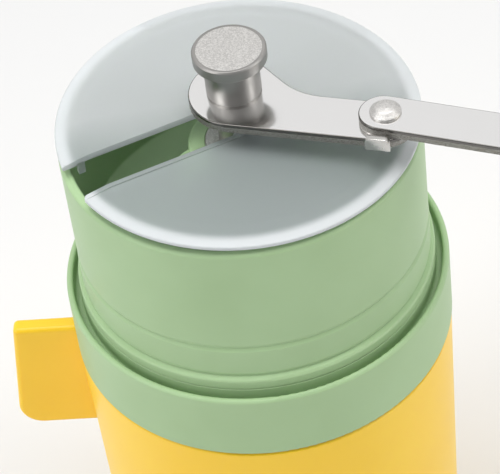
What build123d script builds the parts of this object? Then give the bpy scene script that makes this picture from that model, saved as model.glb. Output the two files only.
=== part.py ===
from build123d import *
from math import cos, radians, sin, sqrt
import os

# Hand crank coffee grinder. Millimetres, +Z up, origin at the middle of the foot.
# Heights named *_z are measured from the surface that the grinder stands on.

# Cup
cup_rim_z = 106.0
cup_rim_radius = 43.1
cup_foot_radius = 41.6
cup_wall = 2.4
cup_floor = 3.0
pad_radius = 33.8
pad_thickness = 2.0
foot_gap = 1.0                # the pad stands this far proud of the cup's foot
handle_azimuth = 174.0
handle_thickness = 4.1
handle_reach_top = 58.6
handle_reach_bottom = 62.2
handle_height = 33.0

# Collar and hopper
joint_gap = 0.4
collar_z = cup_rim_z + joint_gap
collar_radius = 43.3
collar_top_z = collar_z + 17.3
lid_z = collar_z + 60.3       # height of the lid's rim plane
rim_z = lid_z - 2.65
hopper_radius = 39.2
hopper_foot_radius = 40.2
hopper_foot_z = lid_z - 42.3
hopper_floor_z = lid_z - 30.3
hopper_floor_radius = 35.9
throat_radius = 18.8
throat_wall = 2.0
deck_z = 118.0
deck_thickness = 3.0
hub_radius = 11.4
hub_top_z = lid_z - 6.0
ear_radius = 3.95
ear_pitch_radius = 11.2
ear_azimuth = 202.7
screw_pitch_radius = 25.5

# Lid
lid_radius = 39.2
lid_thickness = 1.2
lid_rise = 0.8                # the middle of the lid stands this far above its edge
lid_band = 5.8
lid_tilt = 1.7
lid_drop = 0.2
slot_azimuth = 201.0
slot_half_width = 5.15
slot_offset = 0.65            # the slot's middle lies this far to the near side of the shaft
slot_rib = 1.1
rib_rise = 0.2
flange_drop = 1.3             # the slot's flanges hang this far below the lid's top
hook_drop = 3.4
slot_corner = 0.9

# Shaft and bearings
shaft_radius = 4.6
running_gap = 0.06
upper_bush_z = 152.7
lower_bush_z = 128.3
lower_bush_height = 7.0
shoulder_z = 128.0
hex_flats = 6.4
thread_radius = 2.5
shaft_end_z = 86.0

# Burrs
burr_top_z = 116.0
burr_bottom_z = 102.5
burr_radius = 18.65
burr_mouth_top = 13.0
burr_mouth_bottom = 16.2
burr_gap = 0.45
inner_burr_bottom_z = 100.0
inner_burr_top_z = 117.0

# Crank
link_thickness = 2.2
arm_z = lid_z + 5.3
inner_azimuth = -19.6
pivot_along = 33.7
pivot_across = -5.0
outer_azimuth = -24.4
outer_width = 10.1
outer_length = 72.0
outer_z = arm_z + link_thickness + 0.3
outer_thickness = 2.1
outer_tail = 0.6              # the outer link's round end is centred this far behind the pivot
stop_gap = 0.75               # between the outer link's edge and the stop lug
rivet_radius = 2.3
nut_neck_radius = 5.9
nut_head_radius = 7.9
nut_top_z = lid_z + 19.0
grip_radius = 10.0
grip_height = 30.0


def turned(outline):
    """Solid of revolution about Z from (radius, height, corner radius) triples."""
    points = [(r, z) for r, z, _ in outline]
    corners = [c for _, _, c in outline]
    section = make_face(FilletPolyline(*points, radius=corners, close=True))
    return revolve(Plane.XZ * section, Axis.Z)


def tube(inner, outer, bottom, top):
    return turned([(inner, bottom, 0), (outer, bottom, 0), (outer, top, 0), (inner, top, 0)])


def post(radius, bottom, top):
    return Pos(0, 0, (bottom + top) / 2) * Cylinder(radius, top - bottom)


def radial_slab(points, thickness, azimuth=0.0, corners=None):
    """Upright slab in the radial plane at an azimuth, from (radius, height) points."""
    outline = FilletPolyline(*points, radius=corners or 0, close=True)
    face = Plane.XZ * make_face(outline)
    return Rot(0, 0, azimuth) * extrude(face, thickness / 2, both=True)


def hex_bar(flats, bottom, top):
    section = RegularPolygon(flats / 2, 6, major_radius=False)
    return Pos(0, 0, bottom) * extrude(section, top - bottom)


def around(count, start=0.0):
    return [start + 360.0 / count * k for k in range(count)]


def at_polar(radius, azimuth):
    return Pos(radius * cos(radians(azimuth)), radius * sin(radians(azimuth)), 0)


# Cup, pad and seal

def make_cup():
    top_inner = cup_rim_radius - cup_wall
    floor_top = pad_thickness + cup_floor
    body = turned([
        (0, pad_thickness, 0),
        (pad_radius + 0.2, pad_thickness, 0),
        (pad_radius + 0.2, foot_gap, 0.4),
        (cup_foot_radius, foot_gap, 4.0),
        (cup_rim_radius, cup_rim_z, 0.5),
        (top_inner, cup_rim_z, 0.3),
        (cup_foot_radius - cup_wall, floor_top, 3.0),
        (0, floor_top, 0),
    ])
    root = cup_foot_radius
    bottom = cup_rim_z - handle_height
    outline = [
        (root, bottom),
        (handle_reach_bottom, bottom),
        (handle_reach_top, cup_rim_z),
        (root, cup_rim_z),
    ]
    fin = radial_slab(outline, handle_thickness, corners=[0, 5.5, 1.2, 0])
    sides = fin.faces().group_by(Axis.Y)
    rims = [e for face in (*sides[0], *sides[-1]) for e in face.edges()]
    outer_rims = [e for e in rims if e.center().X > root + 0.5]
    fin = fillet(outer_rims, 1.2)
    groove = tube(41.3, 42.5, cup_rim_z - 1.2, cup_rim_z + 1.0)
    return body + Rot(0, 0, handle_azimuth) * fin - groove


def make_base_pad():
    return turned([
        (0, 0, 0),
        (pad_radius, 0, 0.6),
        (pad_radius, pad_thickness, 0),
        (0, pad_thickness, 0),
    ])


def make_cup_seal():
    return tube(41.35, 42.45, cup_rim_z - 1.2, cup_rim_z + 0.2)


# Collar, hopper and bearings

def make_collar():
    spigot_outer = cup_rim_radius - cup_wall - 0.4
    spigot_inner = spigot_outer - cup_wall
    lip_inner = collar_radius - 1.5
    channel_z = collar_top_z - 3.4
    deck_top = deck_z + deck_thickness
    body = turned([
        (spigot_inner, collar_z - 9.4, 0.4),
        (spigot_outer, collar_z - 9.4, 0.8),
        (spigot_outer, collar_z, 0.2),
        (collar_radius, collar_z, 0.4),
        (collar_radius, collar_top_z, 0.8),
        (lip_inner, collar_top_z, 0.6),
        (lip_inner, channel_z, 0.5),
        (hopper_foot_radius, channel_z, 0.5),
        (hopper_foot_radius, hopper_foot_z - 0.1, 0.25),
        (37.2, hopper_foot_z - 0.1, 0.25),
        (37.2, deck_top, 1.0),
        (throat_radius + throat_wall + 0.2, deck_top, 0.5),
        (throat_radius + throat_wall + 0.2, deck_z, 0.5),
        (spigot_inner, deck_z, 1.0),
    ])
    for azimuth in around(3, 30):
        body -= at_polar(screw_pitch_radius, azimuth) * post(1.7, deck_z - 1, deck_top + 1)
    return body


def make_hopper():
    floor_drop = 7.4
    floor_thickness = 3.0
    wall_inner = 36.9
    throat_top = hopper_floor_z - floor_drop
    throat_end = deck_z + 0.6
    groove_depth = 0.5
    groove_one = hopper_floor_z - 0.4
    groove_two = hopper_foot_z + 3.2
    waist = hopper_radius + 0.1
    return turned([
        (hopper_radius, rim_z, 0.9),
        (37.1, rim_z, 0.7),
        (hopper_floor_radius, hopper_floor_z, 0.6),
        (throat_radius, throat_top, 1.5),
        (throat_radius, throat_end, 0.3),
        (throat_radius + throat_wall, throat_end, 0.3),
        (throat_radius + throat_wall, throat_top - floor_thickness + 0.3, 1.0),
        (wall_inner, hopper_floor_z - floor_thickness, 1.0),
        (wall_inner, hopper_foot_z, 0.25),
        (hopper_foot_radius, hopper_foot_z, 0.25),
        (hopper_foot_radius, groove_two - 0.7, 0.6),
        (waist - groove_depth, groove_two - 0.2, 0.3),
        (waist, groove_two + 0.8, 0.5),
        (waist, groove_one - 0.9, 0.5),
        (waist - groove_depth, groove_one, 0.3),
        (hopper_radius, groove_one + 0.9, 0.5),
    ])


def make_hub():
    """Bearing hub on three ribs that stand on the hopper's floor."""
    bush_seat = 6.6
    bore = 5.0
    stem = 8.8
    cup_bore = 7.75
    lower_seat = lower_bush_z + lower_bush_height
    body = turned([
        (hub_radius, hub_top_z, 0.8),
        (hub_radius, hub_top_z - 11.2, 1.5),
        (stem, hub_top_z - 15.2, 1.0),
        (stem, lower_bush_z, 0.4),
        (bush_seat, lower_bush_z, 0),
        (bush_seat, lower_seat, 0),
        (bore, lower_seat, 0),
        (bore, upper_bush_z, 0),
        (cup_bore, upper_bush_z, 0),
        (cup_bore, hub_top_z, 0.3),
    ])
    ear = post(ear_radius, hub_top_z - 12.2, hub_top_z - 1.0)
    ear = fillet(ear.edges().group_by(Axis.Z)[-1], 0.6)
    clear = post(cup_bore + 0.25, hub_top_z - 20, hub_top_z + 1)
    for azimuth in around(3, ear_azimuth):
        body += at_polar(ear_pitch_radius, azimuth) * ear - clear
    rib = [
        (stem - 0.8, 128.6),
        (18.0, 128.6),
        (19.2, 129.4),
        (27.0, 132.75),
        (27.0, 134.6),
        (12.0, 142.0),
        (stem - 0.8, 143.0),
    ]
    for azimuth in around(3, 60):
        body += radial_slab(rib, 3.0, azimuth) - post(stem - 1.8, 120, 150)
    return body


def make_screw_pillars():
    """Three posts under the hopper's floor, which take the carrier screws."""
    foot = deck_z + deck_thickness
    pillar = post(3.4, foot, foot + 5.7) - post(1.5, foot - 1.0, foot + 6.0)
    return Compound([at_polar(screw_pitch_radius, azimuth) * pillar for azimuth in around(3, 30)])


def make_upper_bush():
    return tube(shaft_radius + running_gap, 7.7, upper_bush_z, hub_top_z - 0.65)


def make_lower_bush():
    return tube(shaft_radius + running_gap, 6.55, lower_bush_z, lower_bush_z + lower_bush_height)


# Mill

def make_burr_carrier():
    body = turned([
        (18.7, deck_z, 0),
        (28.5, deck_z, 0.4),
        (28.5, deck_z - 3.0, 0.8),
        (21.5, deck_z - 3.0, 1.0),
        (21.5, inner_burr_bottom_z, 1.0),
        (17.2, inner_burr_bottom_z, 0.4),
        (17.2, burr_bottom_z, 0),
        (18.7, burr_bottom_z, 0),
    ])
    for azimuth in around(3, 30):
        body -= at_polar(screw_pitch_radius, azimuth) * post(1.7, deck_z - 4, deck_z + 1)
    return body


def make_outer_burr():
    body = turned([
        (burr_mouth_top, burr_top_z, 0),
        (burr_radius, burr_top_z, 0),
        (burr_radius, burr_bottom_z, 0),
        (burr_mouth_bottom, burr_bottom_z, 0),
    ])
    tooth = [
        (burr_mouth_top - 1.0, burr_top_z + 1.0),
        (burr_mouth_top + 0.6, burr_top_z + 1.0),
        (burr_mouth_bottom + 1.0, burr_bottom_z - 1.0),
        (burr_mouth_bottom - 1.0, burr_bottom_z - 1.0),
    ]
    for azimuth in around(20):
        body -= radial_slab(tooth, 1.2, azimuth)
    return body


def make_burr_clamp():
    return tube(16.5, 18.6, burr_top_z, burr_top_z + 2.5)


def make_carrier_screws():
    seat = deck_z - 3.0
    head = turned([(0, seat - 2.2, 0), (2.8, seat - 2.2, 0.7), (2.8, seat, 0), (0, seat, 0)])
    recess = Pos(0, 0, seat - 1.7) * (Box(3.2, 0.8, 1.2) + Box(0.8, 3.2, 1.2))
    screw = head + post(1.5, seat, seat + 11.0) - recess
    return Compound([at_polar(screw_pitch_radius, azimuth) * screw for azimuth in around(3, 30)])


def make_inner_burr():
    shoulder_drop = 5.0
    shoulder = burr_mouth_top - burr_gap + 0.95
    body = turned([
        (3.0, inner_burr_top_z, 0),
        (9.0, inner_burr_top_z, 0.5),
        (shoulder, inner_burr_top_z - shoulder_drop, 0),
        (burr_mouth_bottom - burr_gap, burr_bottom_z, 0),
        (burr_mouth_bottom - burr_gap, inner_burr_bottom_z, 0.4),
        (3.0, inner_burr_bottom_z, 0),
    ])
    tooth = [
        (8.6, 118.0),
        (9.8, 118.0),
        (17.5, 108.0),
        (17.5, 101.6),
        (15.0, 101.6),
        (12.6, 111.0),
    ]
    for azimuth in around(14):
        body -= radial_slab(tooth, 1.3, azimuth)
    return body - hex_bar(hex_flats + 0.1, inner_burr_bottom_z - 1, inner_burr_top_z + 1)


def make_key_plate():
    plate = post(7.5, inner_burr_top_z, inner_burr_top_z + 1.2)
    return plate - hex_bar(hex_flats + 0.1, inner_burr_top_z - 1, inner_burr_top_z + 3)


def make_preload_spring():
    wire = 0.45
    coil_radius = 5.6
    low = inner_burr_top_z + 1.2 + wire + 0.05
    high = shoulder_z - 1.0 - wire - 0.02
    path = Pos(0, 0, low) * Helix((high - low) / 5, high - low, coil_radius)
    start = path @ 0
    section = Plane(origin=start, z_dir=path % 0) * Circle(wire)
    return sweep(section, path=path, is_frenet=True)


def make_thrust_washer():
    return tube(3.75, 7.0, shoulder_z - 1.0, shoulder_z)


def make_adjustment_knob():
    dial_radius = 12.0
    body = turned([
        (thread_radius + 0.05, 88.0, 0),
        (dial_radius, 88.0, 1.0),
        (dial_radius, 95.5, 1.0),
        (6.0, 95.5, 0.5),
        (6.0, inner_burr_bottom_z - 0.1, 0),
        (thread_radius + 0.05, inner_burr_bottom_z - 0.1, 0),
    ])
    for azimuth in around(12):
        body -= at_polar(dial_radius + 0.9, azimuth) * post(1.9, 80, 100)
    return body


# Shaft and crank

def make_drive_shaft():
    square = 6.4
    arm_top = arm_z + link_thickness
    body = post(shaft_radius, shoulder_z, arm_z)
    body += crank_frame(inner_azimuth, arm_z + 1.0) * Box(square, square, 2.0)
    body += post(3.0, arm_z + 2.0, arm_top + 9.5)
    body += hex_bar(hex_flats, inner_burr_bottom_z + 1.0, shoulder_z)
    body += post(thread_radius, shaft_end_z, inner_burr_bottom_z + 1.0)
    return body


def make_thrust_collar():
    low = hub_top_z - 0.6
    return turned([
        (shaft_radius, low, 0),
        (7.55, low, 0.15),
        (7.55, low + 1.0, 0.25),
        (shaft_radius, low + 1.0, 0),
    ])


def crank_frame(azimuth, z):
    return Pos(0, 0, z) * Rot(0, 0, azimuth)


def pivot_place():
    return crank_frame(inner_azimuth, 0) * Pos(pivot_along, pivot_across, 0)


def make_crank_inner_link():
    hub_offset = 1.1
    hub_round = 10.9
    end_radius = 5.75
    near = -hub_round
    far = near + 2 * end_radius
    waist_radius = 14.0
    waist_along = 18.8
    waist_angle = radians(38)
    waist_start = (
        waist_along - waist_radius * sin(waist_angle),
        far + waist_radius * (1 - cos(waist_angle)),
    )
    waist_middle = (
        waist_along - waist_radius * sin(waist_angle / 2),
        far + waist_radius * (1 - cos(waist_angle / 2)),
    )
    end_along = pivot_along
    end_tip = (end_along + end_radius, near + end_radius)
    outline = [
        ThreePointArc((hub_offset, hub_round), (hub_offset - hub_round, 0), (hub_offset, near)),
        Line((hub_offset, near), (end_along, near)),
        ThreePointArc((end_along, near), end_tip, (end_along, far)),
        Line((end_along, far), (waist_along, far)),
        ThreePointArc((waist_along, far), waist_middle, waist_start),
        Line(waist_start, (hub_offset, hub_round)),
    ]
    plate = extrude(make_face(Wire(outline)), link_thickness)
    # The stop lug is bent up from the near edge, just beyond the pivot
    lug_width = 5.2
    lug_height = 3.6
    lug_thickness = 1.6
    lug_front = pivot_across - outer_width / 2 - stop_gap - lug_thickness
    lug = Pos(pivot_along - 0.4, lug_front + lug_thickness / 2, lug_height / 2)
    lug = lug * Box(lug_width, lug_thickness, lug_height)
    top_corners = [e for e in lug.edges().filter_by(Axis.Y) if e.center().Z > lug_height / 2]
    lug = chamfer(top_corners, 1.1)
    bend = lug.faces().sort_by(Axis.Y)[0].edges().sort_by(Axis.Z)[0]
    lug = fillet(bend, 0.9)
    root = Pos(pivot_along - 0.4, near + 0.1, link_thickness / 2)
    root = root * Box(lug_width, 1.8, link_thickness)
    plate = plate + lug + root
    plate -= Box(6.5, 6.5, 20)
    plate -= Pos(pivot_along, pivot_across, 0) * Cylinder(rivet_radius, 20)
    return crank_frame(inner_azimuth, arm_z) * plate


def make_pivot_rivet():
    top = outer_z + outer_thickness + 0.05
    body = turned([
        (0, arm_z - 0.8, 0),
        (3.4, arm_z - 0.8, 0.4),
        (3.4, arm_z, 0),
        (rivet_radius, arm_z, 0),
        (rivet_radius, top, 0),
        (3.3, top, 0.1),
        (3.3, top + 0.6, 0.3),
        (2.1, top + 1.6, 0.6),
        (0, top + 1.75, 0),
    ])
    return pivot_place() * body


def make_pivot_washer():
    low = arm_z + link_thickness
    return pivot_place() * tube(rivet_radius, 4.6, low, low + 0.25)


def make_thumb_nut():
    seat = arm_z + link_thickness
    head_bottom = nut_top_z - 2.9
    return turned([
        (3.05, seat, 0),
        (nut_neck_radius, seat, 0.2),
        (nut_neck_radius, head_bottom, 0.15),
        (nut_head_radius, head_bottom, 0.25),
        (nut_head_radius, nut_top_z, 0.4),
        (0, nut_top_z, 0),
        (0, seat + 9.6, 0),
        (3.05, seat + 9.6, 0),
    ])


def outer_frame():
    return pivot_place() * Rot(0, 0, outer_azimuth - inner_azimuth)


def make_crank_outer_link():
    end = outer_width / 2
    middle = (outer_length - outer_tail) / 2
    body = Pos(middle, 0, 0) * Rectangle(outer_length + outer_tail, outer_width)
    body += Pos(-outer_tail, 0, 0) * Circle(end)
    body += Pos(outer_length, 0, 0) * Circle(end)
    body -= Circle(rivet_radius + 0.05)
    body -= Pos(outer_length, 0, 0) * Circle(2.5)
    return outer_frame() * Pos(0, 0, outer_z) * extrude(body, outer_thickness)


def grip_place():
    return outer_frame() * Pos(outer_length, 0, 0)


def make_grip_spindle():
    seat = outer_z + outer_thickness
    head = seat + grip_height - 3.6
    body = turned([
        (0, outer_z - 0.9, 0),
        (4.2, outer_z - 0.9, 0.4),
        (4.2, outer_z, 0),
        (2.5, outer_z, 0),
        (2.5, seat, 0),
        (3.2, seat, 0),
        (3.2, head, 0),
        (4.6, head, 0.2),
        (4.6, head + 1.4, 0.5),
        (0, head + 1.4, 0),
    ])
    return grip_place() * body


def make_grip_knob():
    low = outer_z + outer_thickness + 0.3
    high = low + grip_height
    counterbore = outer_z + outer_thickness + grip_height - 3.7
    body = turned([
        (3.27, low, 0),
        (6.6, low, 0.8),
        (7.6, low + 7.0, 6.0),
        (grip_radius, high - 10.0, 6.0),
        (grip_radius, high - 3.0, 3.0),
        (8.0, high, 1.2),
        (6.1, high, 0.2),
        (6.1, counterbore, 0),
        (3.27, counterbore, 0),
    ])
    return grip_place() * body


def make_grip_cap():
    low = outer_z + outer_thickness + grip_height - 1.6
    body = turned([(0, low, 0), (6.0, low, 0.2), (6.0, low + 2.2, 0.6), (0, low + 2.4, 0)])
    return grip_place() * body


# Lid

def make_slot_corner():
    """What is cut off the lid to round the corner between its rim and the slot."""
    edge = slot_offset + slot_half_width
    across = edge + slot_corner
    along = sqrt((lid_radius - slot_corner) ** 2 - across ** 2)
    reach = 6.0
    wedge = Polyline(
        (along, edge - 1.0),
        (along + reach, edge - 1.0),
        (along + reach, across + reach * across / along),
        (along, across),
        close=True,
    )
    wedge = extrude(make_face(wedge), 10, both=True)
    return wedge - Pos(along, across, 0) * Cylinder(slot_corner, 30)


def make_lid():
    """Lid with its slot along +X and the near side towards +Y, then turned and tilted."""
    inner = lid_radius - lid_band
    rim_low = -1.0
    under = lid_rise - lid_thickness
    plate = turned([
        (0, under, 0),
        (inner - 0.4, under, 1.5),
        (lid_radius - 2.6, rim_low, 1.0),
        (lid_radius, rim_low, 0.3),
        (lid_radius, 0, 0.4),
        (inner, lid_rise, 1.5),
        (0, lid_rise, 0),
    ])
    raised = turned([
        (0, under + 0.1, 0),
        (inner - 0.4, under + 0.1, 1.5),
        (lid_radius - 2.6, rim_low + 0.1, 1.0),
        (lid_radius - 0.4, rim_low + 0.1, 0.3),
        (lid_radius - 0.4, rib_rise, 0.3),
        (inner, lid_rise + rib_rise, 1.5),
        (0, lid_rise + rib_rise, 0),
    ])
    far_rib = slot_offset - slot_half_width - slot_rib / 2
    near_rib = slot_offset + slot_half_width + slot_rib / 2
    rib = Pos(20, 0, 0) * Box(40, slot_rib, 6)
    ribs = (Pos(0, far_rib, 0) * rib + Pos(0, near_rib, 0) * rib) & raised
    flange_height = flange_drop - lid_thickness + 0.4
    flange = Pos(20.5, 0, lid_rise - flange_drop + flange_height / 2) * Box(27, slot_rib, flange_height)
    flanges = Pos(0, far_rib, 0) * flange + Pos(0, near_rib, 0) * flange
    hook = Pos(34.6, far_rib, (under - hook_drop) / 2 + 0.1) * Box(1.5, slot_rib, hook_drop)
    hole = slot_half_width - 0.2
    collar = turned([
        (hole, 0, 0),
        (hole + 2.4, 0, 0),
        (hole + 1.8, lid_rise + 1.1, 0.5),
        (hole, lid_rise + 1.1, 0.3),
    ])
    slot = Pos(25, slot_offset, 0) * Box(50, 2 * slot_half_width, 20) + Cylinder(slot_half_width, 20)
    body = plate + ribs + flanges + hook + collar - slot - make_slot_corner()
    body = Rot(0, 0, slot_azimuth) * body
    return Pos(0, 0, lid_z - lid_drop) * Rot(0, lid_tilt, 0) * body


nodes = {
    "cup": make_cup,
    "base_pad": make_base_pad,
    "cup_seal": make_cup_seal,
    "collar": make_collar,
    "hopper": make_hopper,
    "hopper_hub": make_hub,
    "screw_pillars": make_screw_pillars,
    "upper_bush": make_upper_bush,
    "lower_bush": make_lower_bush,
    "burr_carrier": make_burr_carrier,
    "outer_burr": make_outer_burr,
    "burr_clamp": make_burr_clamp,
    "carrier_screws": make_carrier_screws,
    "inner_burr": make_inner_burr,
    "key_plate": make_key_plate,
    "preload_spring": make_preload_spring,
    "thrust_washer": make_thrust_washer,
    "adjustment_knob": make_adjustment_knob,
    "drive_shaft": make_drive_shaft,
    "thrust_collar": make_thrust_collar,
    "crank_inner_link": make_crank_inner_link,
    "pivot_rivet": make_pivot_rivet,
    "pivot_washer": make_pivot_washer,
    "thumb_nut": make_thumb_nut,
    "crank_outer_link": make_crank_outer_link,
    "grip_spindle": make_grip_spindle,
    "grip_knob": make_grip_knob,
    "grip_cap": make_grip_cap,
    "lid": make_lid,
}

os.makedirs("parts", exist_ok=True)
for name, make in nodes.items():
    export_step(make(), f"parts/{name}.step")
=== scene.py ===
import math
import random
import bpy
import bmesh
from mathutils import Matrix, Vector


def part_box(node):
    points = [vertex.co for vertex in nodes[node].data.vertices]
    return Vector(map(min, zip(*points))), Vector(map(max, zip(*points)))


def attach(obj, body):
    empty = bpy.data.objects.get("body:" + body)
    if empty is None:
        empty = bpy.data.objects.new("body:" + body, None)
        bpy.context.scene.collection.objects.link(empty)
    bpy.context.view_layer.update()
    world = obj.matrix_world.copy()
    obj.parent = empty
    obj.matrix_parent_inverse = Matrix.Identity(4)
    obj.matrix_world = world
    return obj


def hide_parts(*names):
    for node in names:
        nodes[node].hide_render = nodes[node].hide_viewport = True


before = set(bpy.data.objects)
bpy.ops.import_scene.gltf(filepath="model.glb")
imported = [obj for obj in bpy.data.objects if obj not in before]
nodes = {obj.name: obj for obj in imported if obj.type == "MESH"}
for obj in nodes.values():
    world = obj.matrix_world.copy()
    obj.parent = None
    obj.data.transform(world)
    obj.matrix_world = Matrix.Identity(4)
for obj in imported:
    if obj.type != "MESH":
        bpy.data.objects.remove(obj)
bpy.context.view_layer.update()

mm = 0.001


def linear(hexColour):
    # sRGB hex to the linear colour that the shaders read
    parts = [int(hexColour[k:k + 2], 16) / 255 for k in (1, 3, 5)]
    straight = [p / 12.92 if p <= 0.04045 else ((p + 0.055) / 1.055) ** 2.4 for p in parts]
    return (*straight, 1.0)


def addNode(tree, kind, settings=None, links=None):
    # a name that the node has is a setting, any other key is one of its inputs
    node = tree.nodes.new(kind)
    for key, value in (settings or {}).items():
        if isinstance(key, str) and hasattr(node, key):
            setattr(node, key, value)
        else:
            node.inputs[key].default_value = value
    for key, source in (links or {}).items():
        tree.links.new(source, node.inputs[key])
    return node


def startMaterial(name, shader):
    material = bpy.data.materials.new(name)
    material.use_nodes = True
    tree = material.node_tree
    tree.nodes.clear()
    surface = addNode(tree, "ShaderNodeBsdfPrincipled", shader)
    addNode(tree, "ShaderNodeOutputMaterial", links={"Surface": surface.outputs["BSDF"]})
    place = addNode(tree, "ShaderNodeTexCoord").outputs["Object"]
    return material, tree, surface, place


def rampBetween(tree, factor, low, high, start=0.3, end=0.7):
    ramp = addNode(tree, "ShaderNodeValToRGB", links={"Fac": factor})
    ramp.color_ramp.elements[0].position = start
    ramp.color_ramp.elements[1].position = end
    ramp.color_ramp.elements[0].color = low
    ramp.color_ramp.elements[1].color = high
    return ramp.outputs["Color"]


def addBump(tree, surface, height, strength, distance):
    bump = addNode(tree, "ShaderNodeBump", {"Strength": strength, "Distance": distance}, {"Height": height})
    tree.links.new(bump.outputs["Normal"], surface.inputs["Normal"])


def moulded(name, look):
    # injection moulded plastic: even colour with a slow drift, a fine spark-eroded grain that softens
    # every highlight, and a few faint lines where the melt flowed round
    material, tree, surface, place = startMaterial(name, {
        "Roughness": look["roughness"], "IOR": look["ior"], "Specular IOR Level": look["specular"],
        "Subsurface Weight": look["depth"], "Subsurface Scale": 1.2 * mm,
        "Coat Weight": look["coat"], "Coat Roughness": 0.3})
    surface.inputs["Subsurface Radius"].default_value = (1.0, 0.8, 0.5)
    drift = addNode(tree, "ShaderNodeTexNoise", {"Scale": 1 / look["driftSize"], "Detail": 2.0},
                    {"Vector": place})
    colour = rampBetween(tree, drift.outputs["Fac"], linear(look["shade"]), linear(look["tint"]))
    tree.links.new(colour, surface.inputs["Base Color"])
    grain = addNode(tree, "ShaderNodeTexNoise", {"Scale": 1 / look["grain"], "Detail": 3.0},
                    {"Vector": place})
    squeezed = addNode(tree, "ShaderNodeMapping", {"Scale": (8.0, 8.0, 260.0)}, {"Vector": place})
    flow = addNode(tree, "ShaderNodeTexNoise", {"Scale": 3.0, "Detail": 1.0},
                   {"Vector": squeezed.outputs["Vector"]})
    lines = addNode(tree, "ShaderNodeMapRange",
                    {"From Min": 0.66, "From Max": 0.74, "To Max": look["flowLines"]},
                    {"Value": flow.outputs["Fac"]})
    height = addNode(tree, "ShaderNodeMath", {"operation": "ADD"},
                     {0: grain.outputs["Fac"], 1: lines.outputs["Result"]})
    addBump(tree, surface, height.outputs["Value"], look["grainStrength"], look["grainDepth"])
    return material


sageLook = {"shade": "#A3C091", "tint": "#A9C698", "roughness": 0.42, "ior": 1.49, "specular": 0.42,
            "depth": 0.05, "coat": 0.0, "driftSize": 22 * mm, "grain": 0.35 * mm, "grainStrength": 0.12,
            "grainDepth": 0.02 * mm, "flowLines": 0.5}
yellowLook = {"shade": "#FDCD24", "tint": "#FFD22E", "roughness": 0.36, "ior": 1.53, "specular": 0.45,
              "depth": 0.06, "coat": 0.0, "driftSize": 26 * mm, "grain": 0.4 * mm, "grainStrength": 0.1,
              "grainDepth": 0.02 * mm, "flowLines": 0.3}
blackLook = {"shade": "#2A2D2A", "tint": "#323632", "roughness": 0.5, "ior": 1.5, "specular": 0.4,
             "depth": 0.0, "coat": 0.0, "driftSize": 9 * mm, "grain": 0.3 * mm, "grainStrength": 0.25,
             "grainDepth": 0.03 * mm, "flowLines": 0.2}
acetalLook = {"shade": "#D8D8D2", "tint": "#E0E0DA", "roughness": 0.45, "ior": 1.48, "specular": 0.4,
              "depth": 0.1, "coat": 0.0, "driftSize": 8 * mm, "grain": 0.25 * mm, "grainStrength": 0.2,
              "grainDepth": 0.02 * mm, "flowLines": 0.0}
siliconeLook = {"shade": "#8E908C", "tint": "#979995", "roughness": 0.72, "ior": 1.41, "specular": 0.3,
                "depth": 0.0, "coat": 0.0, "driftSize": 14 * mm, "grain": 0.5 * mm, "grainStrength": 0.2,
                "grainDepth": 0.03 * mm, "flowLines": 0.0}
sealLook = dict(siliconeLook, shade="#E0A23A", tint="#E6AA44")
ceramicLook = {"shade": "#E4E0D3", "tint": "#EEEAE0", "roughness": 0.62, "ior": 1.6, "specular": 0.45,
               "depth": 0.0, "coat": 0.0, "driftSize": 1.6 * mm, "grain": 0.18 * mm, "grainStrength": 0.35,
               "grainDepth": 0.03 * mm, "flowLines": 0.0}


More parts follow.
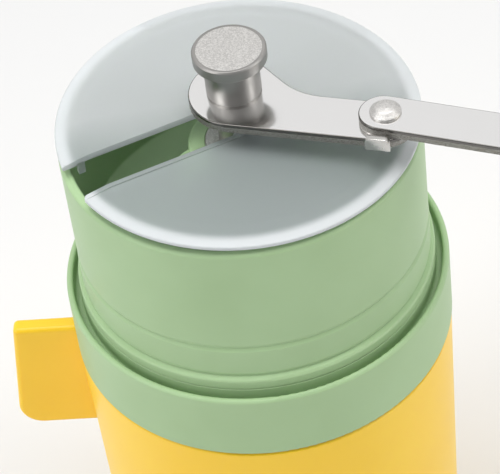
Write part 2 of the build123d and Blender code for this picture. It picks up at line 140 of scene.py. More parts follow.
def frostedLid():
    # natural polypropylene, matt moulded: the thin middle is painted a cool grey, painted shade of the dark
    # hopper seen through it, growing paler from front to back as a painted reflection of the bright room
    # behind; a narrow paler band without that painted shade runs round its edge
    # body is the middle's grey, painted shade of the dark hopper below the lid; band is the lid's paler edge
    # colour
    look = {"body": "#C4CDCD", "milkAndBackSheen": "#F0F3F5", "band": "#E6EAEC", "bandStart": 35.4 * mm,
            "bandEnd": 37.8 * mm, "front": -24 * mm, "back": 20 * mm, "cloudSize": 18 * mm,
            "cloudShare": 0.25, "backSheenShare": 0.8, "grain": 0.3 * mm, "clear": (0.66, 0.35)}
    material, tree, surface, place = startMaterial("frosted natural polypropylene", {
        "Roughness": 0.4, "IOR": 1.49, "Specular IOR Level": 0.4})
    cloud = addNode(tree, "ShaderNodeTexNoise", {"Scale": 1 / look["cloudSize"], "Detail": 2.0},
                    {"Vector": place})
    # painted reflection: the colour ramps paler from front to back along Y, standing in for the bright back
    # of the room; the cloud noise adds the lid's own random milkiness
    depth = addNode(tree, "ShaderNodeSeparateXYZ", links={"Vector": place}).outputs["Y"]
    backSheen = addNode(tree, "ShaderNodeMapRange",
                   {"interpolation_type": "SMOOTHSTEP", "From Min": look["front"],
                   "From Max": look["back"]}, {"Value": depth})
    backSheenPart = addNode(tree, "ShaderNodeMath", {"operation": "MULTIPLY", 1: look["backSheenShare"]},
                    {0: backSheen.outputs["Result"]})
    sway = addNode(tree, "ShaderNodeMath", {"operation": "MULTIPLY_ADD", 1: look["cloudShare"]},
                   {0: cloud.outputs["Fac"], 2: backSheenPart.outputs["Value"]})
    # middle runs from the painted-shade grey towards the lid's own milkiness plus the painted reflection at
    # the back
    middle = rampBetween(tree, sway.outputs["Value"], linear(look["body"]), linear(look["milkAndBackSheen"]))
    flat = addNode(tree, "ShaderNodeVectorMath", {"operation": "MULTIPLY", 1: (1, 1, 0)}, {0: place})
    reach = addNode(tree, "ShaderNodeVectorMath", {"operation": "LENGTH"}, {0: flat.outputs["Vector"]})
    band = addNode(tree, "ShaderNodeMapRange",
                   {"interpolation_type": "SMOOTHSTEP", "From Min": look["bandStart"],
                   "From Max": look["bandEnd"]}, {"Value": reach.outputs["Value"]})
    colour = addNode(tree, "ShaderNodeMix", {"data_type": "RGBA"}, {"Factor": band.outputs["Result"]})
    tree.links.new(middle, colour.inputs[6])
    colour.inputs[7].default_value = linear(look["band"])
    tree.links.new(colour.outputs[2], surface.inputs["Base Color"])
    clear = addNode(tree, "ShaderNodeMapRange", {"To Min": look["clear"][0], "To Max": look["clear"][1]},
                    {"Value": band.outputs["Result"]})
    tree.links.new(clear.outputs["Result"], surface.inputs["Transmission Weight"])
    grain = addNode(tree, "ShaderNodeTexNoise", {"Scale": 1 / look["grain"], "Detail": 2.0},
                    {"Vector": place})
    addBump(tree, surface, grain.outputs["Fac"], 0.12, 0.02 * mm)
    return material


def rolledSheet():
    # polished cold rolled stainless: a near mirror, hazed by fine rolling lines and soft smears
    look = {"steel": "#F3F2F1", "lineWidth": 0.09 * mm, "haze": (0.10, 0.2)}
    material, tree, surface, place = startMaterial("polished rolled stainless", {"Metallic": 1.0})
    surface.inputs["Base Color"].default_value = linear(look["steel"])
    along = addNode(tree, "ShaderNodeMapping",
                    {"Rotation": (0, 0, math.radians(22)), "Scale": (0.04, 1.0, 1.0)},
                    {"Vector": place})
    lines = addNode(tree, "ShaderNodeTexNoise", {"Scale": 1 / look["lineWidth"], "Detail": 2.0},
                    {"Vector": along.outputs["Vector"]})
    smear = addNode(tree, "ShaderNodeTexNoise", {"Scale": 1 / (5 * mm), "Detail": 4.0}, {"Vector": place})
    haze = addNode(tree, "ShaderNodeMapRange",
                   {"From Min": 0.35, "From Max": 0.75, "To Min": look["haze"][0],
                   "To Max": look["haze"][1]}, {"Value": smear.outputs["Fac"]})
    tree.links.new(haze.outputs["Result"], surface.inputs["Roughness"])
    addBump(tree, surface, lines.outputs["Fac"], 0.1, 0.004 * mm)
    return material


def punchedEdge(name, topZ, burnish):
    # the cut side of a punched sheet: a narrow shiny burnished band, its dark tone a painted dark reflection,
    # then torn grey grains below it
    look = {"burnishedPaintedDark": "#6E6C69", "torn": "#B9B7B3", "pit": "#77756F", "grain": 0.16 * mm}
    material, tree, surface, place = startMaterial(name, {"Metallic": 1.0})
    height = addNode(tree, "ShaderNodeSeparateXYZ", links={"Vector": place}).outputs["Z"]
    wander = addNode(tree, "ShaderNodeTexNoise", {"Scale": 1 / (1.4 * mm), "Detail": 2.0},
                     {"Vector": place})
    shift = addNode(tree, "ShaderNodeMath", {"operation": "MULTIPLY_ADD", 1: 0.25 * mm, 2: -0.12 * mm},
                    {0: wander.outputs["Fac"]})
    level = addNode(tree, "ShaderNodeMath", {"operation": "ADD"}, {0: height, 1: shift.outputs["Value"]})
    torn = addNode(tree, "ShaderNodeMapRange",
                   {"From Min": topZ - burnish, "From Max": topZ - burnish - 0.08 * mm},
                   {"Value": level.outputs["Value"]})
    grains = addNode(tree, "ShaderNodeTexVoronoi", {"Scale": 1 / look["grain"]}, {"Vector": place})
    tornColour = rampBetween(tree, grains.outputs["Distance"], linear(look["torn"]), linear(look["pit"]),
                             0.2, 0.75)
    colour = addNode(tree, "ShaderNodeMix", {"data_type": "RGBA"}, {"Factor": torn.outputs["Result"]})
    # painted reflection: the burnished band's base colour is darkened to stand in for the dark reflection
    # seen on the shiny cut side
    colour.inputs[6].default_value = linear(look["burnishedPaintedDark"])
    tree.links.new(tornColour, colour.inputs[7])
    tree.links.new(colour.outputs[2], surface.inputs["Base Color"])
    dull = addNode(tree, "ShaderNodeMapRange", {"To Min": 0.22, "To Max": 0.5},
                   {"Value": torn.outputs["Result"]})
    tree.links.new(dull.outputs["Result"], surface.inputs["Roughness"])
    rough = addNode(tree, "ShaderNodeMath", {"operation": "MULTIPLY"},
                    {0: torn.outputs["Result"], 1: grains.outputs["Distance"]})
    addBump(tree, surface, rough.outputs["Value"], 0.8, 0.08 * mm)
    return material


def blastedSteel():
    # bead blasted stainless: pale, soft and faintly sparkling
    look = {"low": "#BCBAB7", "high": "#E3E1DE", "bead": 0.32 * mm}
    material, tree, surface, place = startMaterial("bead blasted stainless", {"Metallic": 1.0})
    beads = addNode(tree, "ShaderNodeTexNoise",
                    {"Scale": 1 / look["bead"], "Detail": 3.0, "Roughness": 0.7},
                    {"Vector": place})
    colour = rampBetween(tree, beads.outputs["Fac"], linear(look["low"]), linear(look["high"]), 0.35, 0.65)
    tree.links.new(colour, surface.inputs["Base Color"])
    dull = addNode(tree, "ShaderNodeMapRange",
                   {"From Min": 0.3, "From Max": 0.7, "To Min": 0.34, "To Max": 0.5},
                   {"Value": beads.outputs["Fac"]})
    tree.links.new(dull.outputs["Result"], surface.inputs["Roughness"])
    addBump(tree, surface, beads.outputs["Fac"], 0.8, 0.05 * mm)
    return material


def turnedSteel(name, look):
    # turned on a lathe: fine rings round the axis, which draw reflections up and down the barrel
    material, tree, surface, place = startMaterial(name, {"Metallic": 1.0, "Anisotropic": look["stretch"]})
    surface.inputs["Base Color"].default_value = linear(look["steel"])
    rings = addNode(tree, "ShaderNodeMapping", {"Scale": (0.02, 0.02, 1.0)}, {"Vector": place})
    lines = addNode(tree, "ShaderNodeTexNoise", {"Scale": 1 / look["feed"], "Detail": 2.0},
                    {"Vector": rings.outputs["Vector"]})
    smear = addNode(tree, "ShaderNodeTexNoise", {"Scale": 1 / (3 * mm), "Detail": 3.0}, {"Vector": place})
    dull = addNode(tree, "ShaderNodeMapRange",
                   {"From Min": 0.3, "From Max": 0.7, "To Min": look["roughness"][0],
                   "To Max": look["roughness"][1]}, {"Value": smear.outputs["Fac"]})
    tree.links.new(dull.outputs["Result"], surface.inputs["Roughness"])
    addBump(tree, surface, lines.outputs["Fac"], 0.25, 0.01 * mm)
    return material


sage = moulded("sage satin polypropylene", sageLook)
yellow = moulded("yellow satin ABS", yellowLook)
black = moulded("black moulded nylon", blackLook)
acetal = moulded("machined natural acetal", acetalLook)
silicone = moulded("grey moulded silicone", siliconeLook)
sealRubber = moulded("amber seal silicone", sealLook)
ceramic = moulded("unglazed alumina ceramic", ceramicLook)
frosted = frostedLid()
sheet = rolledSheet()
blasted = blastedSteel()
turned = turnedSteel("turned stainless", {"steel": "#A3A19E", "feed": 0.12 * mm, "roughness": (0.3, 0.4),
                                          "stretch": 0.6})
wire = turnedSteel("drawn spring wire", {"steel": "#A8A7A5", "feed": 0.2 * mm, "roughness": (0.3, 0.42),
                                         "stretch": 0.2})
plated = turnedSteel("zinc plated screw steel", {"steel": "#B9BBBE", "feed": 0.2 * mm,
                                                 "roughness": (0.28, 0.42), "stretch": 0.0})
cadFinishes = {
    "hopper": sage, "hopper_hub": sage, "screw_pillars": sage, "collar": sage, "cup": yellow,
    "cup_seal": sealRubber, "base_pad": silicone,
    "upper_bush": acetal, "lower_bush": acetal, "burr_carrier": black, "outer_burr": ceramic,
    "inner_burr": ceramic, "burr_clamp": plated, "carrier_screws": plated, "key_plate": plated,
    "preload_spring": wire, "thrust_washer": acetal, "adjustment_knob": black, "drive_shaft": turned,
    "thrust_collar": blasted, "pivot_washer": acetal, "grip_spindle": turned, "lid": frosted,
    "thumb_nut": turned, "pivot_rivet": blasted, "crank_inner_link": sheet, "crank_outer_link": sheet,
    "grip_knob": yellow, "grip_cap": sage}
for nodeName, finish in cadFinishes.items():
    for materialSlot in nodes[nodeName].material_slots:
        materialSlot.material = finish
print("finishes on the CAD parts")


def roundedOutline(corners):
    # closed outline in mm from (x, y, radius) corners; long runs get points near their ends so that the
    # shading of a flat stays flat right up to its rounded edge
    points = []
    count = len(corners)
    for k, (x, y, radius) in enumerate(corners):
        here = Vector((x, y))
        before = (Vector(corners[k - 1][:2]) - here)
        after = (Vector(corners[(k + 1) % count][:2]) - here)
        if radius <= 0 or before.length < 1e-6 or after.length < 1e-6:
            points.append(here)
            continue
        half = before.angle(after) / 2
        cut = min(radius / math.tan(half), before.length * 0.499, after.length * 0.499)
        radius = cut * math.tan(half)
        start, end = here + before.normalized() * cut, here + after.normalized() * cut
        centre = here + (before.normalized() + after.normalized()).normalized() * (radius / math.sin(half))
        steps = max(2, round((math.pi - 2 * half) / math.radians(11)))
        a, b = start - centre, end - centre
        sweep = a.angle(b)
        for s in range(steps + 1):
            t = s / steps
            blend = a * math.sin((1 - t) * sweep) + b * math.sin(t * sweep)
            points.append(centre + blend / math.sin(sweep))
    guarded = []
    for k, point in enumerate(points):
        following = points[(k + 1) % len(points)]
        run = following - point
        guarded.append(point)
        if run.length > 0.9:
            guarded.append(point + run.normalized() * 0.15)
            for s in range(1, int(run.length / 4) + 1):
                guarded.append(point + run * (s / (int(run.length / 4) + 1)))
            guarded.append(following - run.normalized() * 0.15)
    return guarded


def latheTree():
    # turns the piece's own outline (points in the XZ plane) about Z; ripples may be sunk into its outside
    tree = bpy.data.node_groups.new("lathe", "GeometryNodeTree")
    face = tree.interface
    face.new_socket("Geometry", in_out="OUTPUT", socket_type="NodeSocketGeometry")
    face.new_socket("Geometry", in_out="INPUT", socket_type="NodeSocketGeometry")
    for name, kind in (("Segments", "Int"), ("Points", "Int"), ("Ripples", "Int"), ("Ripple Depth", "Float"),
                       ("Ripple Bottom", "Float"), ("Ripple Top", "Float"), ("Ripple Reach", "Float"),
                       ("Finish", "Material")):
        face.new_socket(name, in_out="INPUT", socket_type="NodeSocket" + kind)
    given = addNode(tree, "NodeGroupInput").outputs
    onePast = addNode(tree, "ShaderNodeMath", {"operation": "ADD", 1: 1.0},
                      {0: given["Segments"]}).outputs[0]
    ringPast = addNode(tree, "ShaderNodeMath", {"operation": "ADD", 1: 1.0},
                       {0: given["Points"]}).outputs[0]
    grid = addNode(tree, "GeometryNodeMeshGrid", links={
        "Size X": given["Segments"], "Size Y": given["Points"],
        "Vertices X": onePast, "Vertices Y": ringPast})
    spot = addNode(tree, "ShaderNodeSeparateXYZ", links={
        "Vector": addNode(tree, "GeometryNodeInputPosition").outputs[0]}).outputs
    halfWay = addNode(tree, "ShaderNodeMath", {"operation": "MULTIPLY", 1: 0.5},
                      {0: given["Points"]}).outputs[0]
    row = addNode(tree, "ShaderNodeMath", {"operation": "ADD"}, {0: spot["Y"], 1: halfWay}).outputs[0]
    row = addNode(tree, "ShaderNodeMath", {"operation": "ROUND"}, {0: row}).outputs[0]
    row = addNode(tree, "ShaderNodeMath", {"operation": "FLOORED_MODULO"},
                  {0: row, 1: given["Points"]}).outputs[0]
    outline = addNode(tree, "GeometryNodeSampleIndex", {"data_type": "FLOAT_VECTOR", "domain": "POINT"}, {
        "Geometry": given["Geometry"], "Value": addNode(tree, "GeometryNodeInputPosition").outputs[0],
        "Index": row})
    across = addNode(tree, "ShaderNodeSeparateXYZ", links={"Vector": outline.outputs["Value"]}).outputs
    turn = addNode(tree, "ShaderNodeMath", {"operation": "DIVIDE"},
                   {0: spot["X"], 1: given["Segments"]}).outputs[0]
    turn = addNode(tree, "ShaderNodeMath", {"operation": "MULTIPLY", 1: 2 * math.pi}, {0: turn}).outputs[0]
    wave = addNode(tree, "ShaderNodeMath", {"operation": "MULTIPLY"},
                   {0: turn, 1: given["Ripples"]}).outputs[0]
    wave = addNode(tree, "ShaderNodeMath", {"operation": "COSINE"}, {0: wave}).outputs[0]
    wave = addNode(tree, "ShaderNodeMapRange", {"interpolation_type": "SMOOTHSTEP", "From Min": 0.1}, {
        "Value": wave}).outputs["Result"]
    rise = addNode(tree, "ShaderNodeMath", {"operation": "ADD", 1: 1.6 * mm},
                   {0: given["Ripple Bottom"]}).outputs[0]
    fall = addNode(tree, "ShaderNodeMath", {"operation": "SUBTRACT", 1: 1.6 * mm},
                   {0: given["Ripple Top"]}).outputs[0]
    low = addNode(tree, "ShaderNodeMapRange", {"interpolation_type": "SMOOTHSTEP"}, {
        "Value": across["Z"], "From Min": given["Ripple Bottom"], "From Max": rise}).outputs["Result"]
    high = addNode(tree, "ShaderNodeMapRange", {"interpolation_type": "SMOOTHSTEP"}, {
        "Value": across["Z"], "From Min": given["Ripple Top"], "From Max": fall}).outputs["Result"]
    outside = addNode(tree, "ShaderNodeMath", {"operation": "GREATER_THAN"}, {
        0: across["X"], 1: given["Ripple Reach"]}).outputs[0]
    sink = given["Ripple Depth"]
    for part in (wave, low, high, outside):
        sink = addNode(tree, "ShaderNodeMath", {"operation": "MULTIPLY"}, {0: sink, 1: part}).outputs[0]
    radius = addNode(tree, "ShaderNodeMath", {"operation": "SUBTRACT"},
                     {0: across["X"], 1: sink}).outputs[0]
    cosine = addNode(tree, "ShaderNodeMath", {"operation": "COSINE"}, {0: turn}).outputs[0]
    sine = addNode(tree, "ShaderNodeMath", {"operation": "SINE"}, {0: turn}).outputs[0]
    x = addNode(tree, "ShaderNodeMath", {"operation": "MULTIPLY"}, {0: radius, 1: cosine}).outputs[0]
    y = addNode(tree, "ShaderNodeMath", {"operation": "MULTIPLY"}, {0: radius, 1: sine}).outputs[0]
    place = addNode(tree, "ShaderNodeCombineXYZ", links={"X": x, "Y": y, "Z": across["Z"]}).outputs[0]
    shaped = addNode(tree, "GeometryNodeSetPosition", links={
        "Geometry": grid.outputs["Mesh"], "Position": place}).outputs[0]
    closed = addNode(tree, "GeometryNodeMergeByDistance", {"Distance": 0.002 * mm},
                     {"Geometry": shaped}).outputs[0]
    plain = addNode(tree, "GeometryNodeRealizeInstances", links={"Geometry": closed}).outputs[0]
    dressed = addNode(tree, "GeometryNodeSetMaterial", links={
        "Geometry": plain, "Material": given["Finish"]}).outputs[0]
    addNode(tree, "NodeGroupOutput", links={"Geometry": dressed})
    return tree


def runNodes(piece, tree, values):
    # sets the tree's inputs by identifier, then keeps the result as the piece's own plain mesh
    modifier = piece.modifiers.new("nodes", "NODES")
    modifier.node_group = tree
    for item in tree.interface.items_tree:
        if item.in_out == "INPUT" and item.name in values:
            modifier[item.identifier] = values[item.name]
    bpy.context.view_layer.update()
    made = bpy.data.meshes.new_from_object(piece.evaluated_get(bpy.context.evaluated_depsgraph_get()))
    piece.modifiers.clear()
    piece.data = made
    return piece


def newPiece(name, mesh):
    piece = bpy.data.objects.new(name, mesh)
    bpy.context.scene.collection.objects.link(piece)
    return piece


def finishMesh(piece, sharp=35.0):
    shape = bmesh.new()
    shape.from_mesh(piece.data)
    bmesh.ops.remove_doubles(shape, verts=shape.verts, dist=0.001 * mm)
    bmesh.ops.dissolve_degenerate(shape, edges=shape.edges, dist=0.0005 * mm)
    bmesh.ops.recalc_face_normals(shape, faces=shape.faces)
    shape.to_mesh(piece.data)
    shape.free()
    piece.data.shade_smooth()
    piece.data.set_sharp_from_angle(angle=math.radians(sharp))
    return piece


lathe = latheTree()


def turnedPiece(name, corners, finish, place=(0, 0), segments=128, ripples=None):
    outline = roundedOutline(corners)
    mesh = bpy.data.meshes.new(name)
    mesh.from_pydata([(p.x * mm, 0, p.y * mm) for p in outline], [], [])
    piece = newPiece(name, mesh)
    values = {"Segments": segments, "Points": len(outline), "Finish": finish, "Ripples": 0,
              "Ripple Depth": 0.0, "Ripple Bottom": 0.0, "Ripple Top": 1.0, "Ripple Reach": 0.0}
    values.update(ripples or {})
    runNodes(piece, lathe, values)
    piece.data.transform(Matrix.Translation((place[0], place[1], 0)))
    return finishMesh(piece)


def middleOf(nodeName):
    low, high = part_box(nodeName)
    return (low + high) / 2


def heights(nodeName):
    low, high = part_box(nodeName)
    return low.z / mm, high.z / mm


def makeThumbNut():
    # plain round neck with a thin undercut below a flat head, whose blasted face sits inside a turned rim
    low, high = heights("thumb_nut")
    nut = {"neck": 5.9, "head": 7.9, "headHigh": 2.9, "chamfer": 0.35}
    rim = high - nut["headHigh"]
    body = turnedPiece("thumb_nut_body", [
        (0, low, 0), (nut["neck"] - 0.45, low, 0), (nut["neck"], low + 0.45, 0.1),
        (nut["neck"], rim - 0.55, 0.1), (nut["neck"] - 0.22, rim - 0.4, 0.08),
        (nut["neck"] - 0.22, rim, 0.08),
        (nut["head"] - 0.3, rim, 0.1), (nut["head"], rim + 0.3, 0.12),
        (nut["head"], high - nut["chamfer"], 0.2), (nut["head"] - nut["chamfer"], high, 0.12),
        (nut["head"] - 0.9, high, 0), (nut["head"] - 0.9, high - 0.3, 0), (0, high - 0.3, 0)], turned)
    face = turnedPiece("thumb_nut_face", [
        (0, high - 0.3, 0), (nut["head"] - 0.9, high - 0.3, 0), (nut["head"] - 0.9, high, 0.05),
        (0, high + 0.02, 0)], blasted)
    for piece in (body, face):
        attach(piece, "crank")
        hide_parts("thumb_nut")


def makeRivet():
    # the crank's pivot: a plain closed foot below, a shank, and a domed head with an eased flange
    low, high = heights("pivot_rivet")
    spot = middleOf("pivot_washer")
    rivet = {"shank": 2.3, "flange": 3.3, "foot": 3.4}
    head = high - 1.75
    piece = turnedPiece("pivot_rivet_head", [
        (0, low, 0), (rivet["foot"] - 0.3, low, 0.2), (rivet["foot"], low + 0.4, 0.2),
        (rivet["foot"], low + 0.8, 0), (rivet["shank"], low + 0.8, 0), (rivet["shank"], head, 0),
        (rivet["flange"], head, 0.1), (rivet["flange"], head + 0.5, 0.3),
        (rivet["flange"] - 0.65, head + 1.0, 0.5),
        (rivet["flange"] - 1.2, head + 1.5, 0.5), (0.9, head + 1.75, 0.6), (0, head + 1.68, 0)],
        blasted, (spot.x, spot.y), 72)
    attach(piece, "crank")
    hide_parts("pivot_rivet")


def arcPoints(centre, radius, start, end, step=8.0):
    count = max(2, round(abs(end - start) / step))
    angles = [math.radians(start + (end - start) * k / count) for k in range(count + 1)]
    return [Vector((centre[0] + radius * math.cos(a), centre[1] + radius * math.sin(a))) for a in angles]


def spacedOut(points, gap):
    # more points along long runs, so that the torn edge has something to wander on
    dense = []
    for k, point in enumerate(points):
        following = points[(k + 1) % len(points)]
        parts = max(1, round((following - point).length / gap))
        dense += [point.lerp(following, s / parts) for s in range(parts)]
    return dense


def insetLoop(points, depth):
    moved = []
    for k, point in enumerate(points):
        before = (point - points[k - 1]).normalized()
        after = (points[(k + 1) % len(points)] - point).normalized()
        side = (Vector((-before.y, before.x)) + Vector((-after.y, after.x))).normalized()
        moved.append(point + side * depth)
    return moved


def punchedPlate(name, outline, bottom, thickness, holes, finishes, seed):
    # a blanked sheet: rolled-over top corner, sheared wall, torn lower wall and a slight burr underneath
    chance = random.Random(seed)
    layers = [(0.0, 0.12), (0.06, 0.03), (0.35, 0.03), (0.62, 0.03), (0.9, 0.0), (0.93, 0.0),
              (thickness - 0.26, 0.0), (thickness - 0.12, 0.04), (thickness - 0.03, 0.12), (thickness, 0.24)]
    torn = (1, 2, 3)
    shape = bmesh.new()
    loops = []
    for index, (height, inset) in enumerate(layers):
        loop = insetLoop(outline, inset)
        if index in torn:
            loop = [p + Vector((chance.uniform(-1, 1), chance.uniform(-1, 1))) * 0.025 for p in loop]
        loops.append([shape.verts.new((p.x * mm, p.y * mm, (bottom + height) * mm)) for p in loop])
    for lower, upper in zip(loops, loops[1:]):
        for k in range(len(lower)):
            after = (k + 1) % len(lower)
            wall = shape.faces.new((lower[k], lower[after], upper[after], upper[k]))
            wall.material_index = 1
    rims = {0: [], 1: []}
    for hole in holes:
        rings = [[shape.verts.new((p.x * mm, p.y * mm, (bottom + h) * mm)) for p in hole]
                 for h in (0, thickness)]
        for k in range(len(hole)):
            after = (k + 1) % len(hole)
            shape.faces.new((rings[0][k], rings[1][k], rings[1][after], rings[0][after])).material_index = 1
        for side in (0, 1):
            rims[side].append(rings[side])
    for side, loop in ((0, loops[0]), (1, loops[-1])):
        edges = []
        for ring in [loop] + rims[side]:
            edges += [shape.edges.get((ring[k], ring[(k + 1) % len(ring)])) or
                      shape.edges.new((ring[k], ring[(k + 1) % len(ring)])) for k in range(len(ring))]
        filled = bmesh.ops.triangle_fill(shape, use_beauty=True, edges=edges)
        for f in filled["geom"]:
            if isinstance(f, bmesh.types.BMFace):
                f.material_index = 0
    mesh = bpy.data.meshes.new(name)
    shape.to_mesh(mesh)
    shape.free()
    piece = newPiece(name, mesh)
    for finish in finishes:
        mesh.materials.append(finish)
    return piece


crank = {"innerAzimuth": -19.6, "outerAzimuth": -24.4, "hubRound": 10.9, "hubOffset": 1.1, "endRadius": 5.75,
         "waistRadius": 14.0, "waistAlong": 18.8, "waistAngle": 38.0, "pivotAlong": 33.7, "pivotAcross": -5.0,
         "innerThick": 2.2, "outerThick": 2.1, "outerWidth": 10.1, "outerTail": 0.6, "outerLength": 72.0,
         "lug": (5.2, 1.6, 3.6), "stopGap": 0.75}


def turnedLoop(points, azimuth, spot=(0, 0)):
    turn = Matrix.Rotation(math.radians(azimuth), 2)
    return [turn @ p + Vector(spot) for p in points]


def makeInnerLink():
    # the hub plate, with a waist on its far side, and the lug bent up from it that stops the folding arm
    c = crank
    near = -c["hubRound"]
    far = near + 2 * c["endRadius"]
    waistTop = 90 + c["waistAngle"]
    waistCentre = (c["waistAlong"], far + c["waistRadius"])
    outline = arcPoints((c["hubOffset"], 0), c["hubRound"], 90, 270)
    outline += arcPoints((c["pivotAlong"], near + c["endRadius"]), c["endRadius"], -90, 90)
    outline += arcPoints(waistCentre, c["waistRadius"], 270, 270 - c["waistAngle"])
    outline = spacedOut(outline, 0.7)
    bottom = heights("pivot_washer")[0] - c["innerThick"]
    hole = arcPoints((c["pivotAlong"], c["pivotAcross"]), 2.3, 0, 360, 12)[:-1]
    square = [Vector(p) for p in ((3.2, -3.2), (3.2, 3.2), (-3.2, 3.2), (-3.2, -3.2))]
    turn = c["innerAzimuth"]
    edge = punchedEdge("punched edge of the inner link", (bottom + c["innerThick"]) * mm, 0.75 * mm)
    piece = punchedPlate("crank_inner_plate", turnedLoop(outline, turn), bottom, c["innerThick"],
                         [turnedLoop(hole, turn), turnedLoop(square, turn)], (sheet, edge), 11)
    finishMesh(piece, 40)
    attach(piece, "crank")
    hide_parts("crank_inner_link")
    wide, thick, tall = c["lug"]
    front = c["pivotAcross"] - c["outerWidth"] / 2 - c["stopGap"] - thick
    shape = bmesh.new()
    bmesh.ops.create_cube(shape, size=1.0)
    for v in shape.verts:
        v.co = Vector((c["pivotAlong"] - 0.4 + v.co.x * wide, front + (v.co.y + 0.5) * thick,
                       (v.co.z + 0.5) * tall)) * mm
    corners = [e for e in shape.edges if abs(e.verts[0].co.y - e.verts[1].co.y) > 0.5 * mm
               and min(v.co.z for v in e.verts) > 1 * mm]
    bmesh.ops.bevel(shape, geom=corners, offset=1.1 * mm, segments=3, profile=0.5, affect="EDGES")
    bend = [e for e in shape.edges
            if all(v.co.z < 0.01 * mm and v.co.y < (front + 0.01) * mm for v in e.verts)]
    bmesh.ops.bevel(shape, geom=bend, offset=0.9 * mm, segments=5, profile=0.5, affect="EDGES")
    keen = [e for e in shape.edges if e.is_manifold and e.calc_face_angle() > math.radians(50)]
    bmesh.ops.bevel(shape, geom=keen, offset=0.16 * mm, segments=2, profile=0.5, affect="EDGES")
    shape.transform(Matrix.Translation((0, 0, bottom * mm)) @ Matrix.Rotation(math.radians(turn), 4, "Z"))
    mesh = bpy.data.meshes.new("crank_stop_lug")
    shape.to_mesh(mesh)
    shape.free()
    mesh.materials.append(lugSteel)
    lug = finishMesh(newPiece("crank_stop_lug", mesh), 40)
    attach(lug, "crank")
    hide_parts("crank_inner_link")


def makeOuterLink():
    # the folding arm: a straight strip with two round ends
    c = crank
    half = c["outerWidth"] / 2
    spot = middleOf("pivot_washer") / mm
    outline = arcPoints((-c["outerTail"], 0), half, 90, 270)
    outline += arcPoints((c["outerLength"], 0), half, -90, 90)
    outline = spacedOut(outline, 0.7)
    bottom = heights("crank_outer_link")[0]
    turn = c["outerAzimuth"]
    holes = [turnedLoop(arcPoints((x, 0), r, 0, 360, 12)[:-1], turn, (spot.x, spot.y))
             for x, r in ((0, 2.35), (c["outerLength"], 2.5))]
    edge = punchedEdge("punched edge of the outer link", (bottom + c["outerThick"]) * mm, 0.7 * mm)
    piece = punchedPlate("crank_outer_plate", turnedLoop(outline, turn, (spot.x, spot.y)), bottom,
                         c["outerThick"], holes, (sheet, edge), 23)
    finishMesh(piece, 40)
    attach(piece, "outer_arm")
    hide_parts("crank_outer_link")


def makeGrip():
    # waisted knob with shallow flutes, and the cap pressed into its end
    low, high = heights("grip_knob")
    spot = middleOf("grip_knob")
    grip = {"waist": 6.6, "belly": 10.0, "flutes": 12, "fluteDepth": 0.35}
    knob = turnedPiece("grip_knob_body", [
        (3.27, low, 0.2), (grip["waist"], low, 0.8), (7.6, low + 7, 6.0), (grip["belly"], high - 10, 6.0),
        (grip["belly"], high - 3, 3.0), (8.0, high, 1.2), (6.1, high, 0.25), (6.1, high - 4.0, 0),
        (3.27, high - 4.0, 0)], yellow, (spot.x, spot.y), 144,
        {"Ripples": grip["flutes"], "Ripple Depth": grip["fluteDepth"] * mm, "Ripple Bottom": (low + 4) * mm,
         "Ripple Top": (high - 3.5) * mm, "Ripple Reach": 6.3 * mm})
    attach(knob, "grip")
    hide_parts("grip_knob")
    low, high = heights("grip_cap")
    cap = turnedPiece("grip_cap_disc", [
        (0, low, 0), (6.0, low, 0.2), (6.0, high - 0.2, 0.5), (4.4, high, 0.4), (4.1, high - 0.2, 0.2),
        (0, high - 0.15, 0)], sage, (spot.x, spot.y), 96)
    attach(cap, "grip")
    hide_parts("grip_cap")


def makeLid():
    # the moulded lid with every sharp corner eased, as a tool cut in steel gives it
    shape = bmesh.new()
    shape.from_mesh(nodes["lid"].data)
    bmesh.ops.remove_doubles(shape, verts=shape.verts, dist=0.002 * mm)
    bmesh.ops.dissolve_limit(shape, angle_limit=math.radians(0.6), verts=shape.verts, edges=shape.edges)
    keen = [e for e in shape.edges if e.is_manifold and e.calc_face_angle() > math.radians(40)]
    bmesh.ops.bevel(shape, geom=keen, offset=0.18 * mm, segments=2, profile=0.6, affect="EDGES",
                    clamp_overlap=True)
    mesh = bpy.data.meshes.new("lid_moulding")
    shape.to_mesh(mesh)
    shape.free()
    mesh.materials.append(frosted)
    piece = finishMesh(newPiece("lid_moulding", mesh), 30)
    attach(piece, "lid")
    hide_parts("lid")


def makeAdjuster():
    # the dial under the carrier: twelve finger flutes and a ring groove in its lower face
    low, high = heights("adjustment_knob")
    dial = {"radius": 12.0, "bore": 2.55, "neck": 6.0, "neckHigh": 4.4, "grooves": 12, "grooveDeep": 1.0}
    step = high - dial["neckHigh"]
    knob = turnedPiece("adjuster_dial", [
        (dial["bore"], low, 0.2), (5.2, low, 0.3), (5.6, low + 0.6, 0.3), (9.4, low + 0.6, 0.3),
        (9.8, low, 0.3),
        (dial["radius"], low, 1.0), (dial["radius"], step, 1.0), (dial["neck"], step, 0.6),
        (dial["neck"], high, 0.2), (dial["bore"], high, 0)], black, (0, 0), 144,
        {"Ripples": dial["grooves"], "Ripple Depth": dial["grooveDeep"] * mm, "Ripple Bottom": (low - 2) * mm,
         "Ripple Top": (high + 2) * mm, "Ripple Reach": 10.5 * mm})
    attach(knob, "adjuster")
    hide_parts("adjustment_knob")


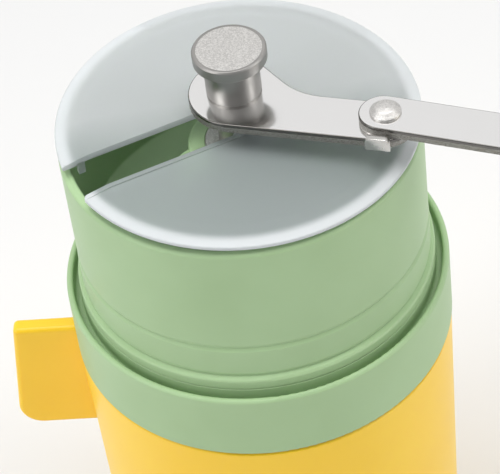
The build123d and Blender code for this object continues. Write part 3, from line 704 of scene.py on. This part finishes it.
def makeBasePad():
    # soft foot with three shallow rings moulded in its underside
    low, high = heights("base_pad")
    foot = {"radius": 33.8, "ringStart": 10.0, "ringGap": 7.0, "ringWide": 2.4, "slope": 0.4, "ringDeep": 0.6,
            "rings": 3}
    corners = [(0, low, 0)]
    for k in range(foot["rings"]):
        inner = foot["ringStart"] + k * foot["ringGap"]
        outer = inner + foot["ringWide"]
        corners += [(inner, low, 0.2), (inner + foot["slope"], low + foot["ringDeep"], 0.2),
                    (outer - foot["slope"], low + foot["ringDeep"], 0.2), (outer, low, 0.2)]
    corners += [(foot["radius"], low, 0.6), (foot["radius"], high, 0), (0, high, 0)]
    pad = turnedPiece("base_pad_ringed", corners, silicone)
    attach(pad, "cup")
    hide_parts("base_pad")


lugSteel = turnedSteel("tumbled pressed stainless", {"steel": "#C9C7C3", "feed": 0.3 * mm,
                                                     "roughness": (0.18, 0.3), "stretch": 0.0})
makeThumbNut()
makeRivet()
makeInnerLink()
makeOuterLink()
makeGrip()
makeLid()
makeAdjuster()
makeBasePad()
print("crank, nut, rivet, grip, lid, adjuster and foot")

studio = {"lens": 171.14, "elevation": 44.95, "roll": -7.83,
          "offset": (-0.92 * mm, -375.97 * mm, 338.75 * mm),   # from the middle of the lid's plane
          "lidAbove": 166.7 * mm}


def setCamera():
    camera = bpy.data.objects.new("camera", bpy.data.cameras.new("camera"))
    bpy.context.scene.collection.objects.link(camera)
    camera.data.lens = studio["lens"]
    camera.data.clip_start = 0.01
    turn = Matrix.Rotation(math.radians(90 - studio["elevation"]), 4, "X")
    turn = turn @ Matrix.Rotation(math.radians(studio["roll"]), 4, "Z")
    spot = Vector(studio["offset"]) + Vector((0, 0, studio["lidAbove"]))
    camera.matrix_world = Matrix.Translation(spot) @ turn
    bpy.context.scene.camera = camera


def addLight(name, place, aim, size, power):
    data = bpy.data.lights.new(name, "AREA")
    data.shape = "RECTANGLE"
    data.size, data.size_y = size
    data.energy = power
    light = bpy.data.objects.new(name, data)
    bpy.context.scene.collection.objects.link(light)
    light.location = place
    light.rotation_euler = (Vector(aim) - Vector(place)).to_track_quat("-Z", "Y").to_euler()


def setWorld():
    # pale room: bright behind the grinder, dimmer on the camera's side
    world = bpy.data.worlds.new("pale studio")
    bpy.context.scene.world = world
    world.use_nodes = True
    tree = world.node_tree
    sky = tree.nodes["Background"]
    aim = addNode(tree, "ShaderNodeSeparateXYZ", links={
        "Vector": addNode(tree, "ShaderNodeTexCoord").outputs["Generated"]})
    power = addNode(tree, "ShaderNodeMapRange",
                    {"From Min": -0.8, "From Max": 0.3, "To Min": 0.18, "To Max": 0.84},
                    {"Value": aim.outputs["Y"]})
    tree.links.new(power.outputs["Result"], sky.inputs["Strength"])
    sky.inputs["Color"].default_value = (1, 1, 1, 1)


setCamera()
setWorld()
addLight("overhead softbox", (0.0, -0.1, 1.1), (0, 0, 0.1), (0.9, 0.6), 7)
addLight("left softbox", (-0.9, -0.45, 0.6), (0, 0, 0.12), (0.5, 0.9), 3.9)
addLight("right softbox", (0.9, -0.3, 0.5), (0, 0, 0.12), (0.35, 0.9), 2.6)
bpy.context.scene.view_settings.view_transform = "Standard"

floorMesh = bpy.data.meshes.new("floor")
floorMesh.from_pydata([(-6, -6, 0), (6, -6, 0), (6, 6, 0), (-6, 6, 0)], [], [(0, 1, 2, 3)])
floor = newPiece("floor", floorMesh)
floorFinish = startMaterial("pale paper floor", {"Roughness": 0.8, "Base Color": linear("#E2E2E2")})[0]
floorMesh.materials.append(floorFinish)
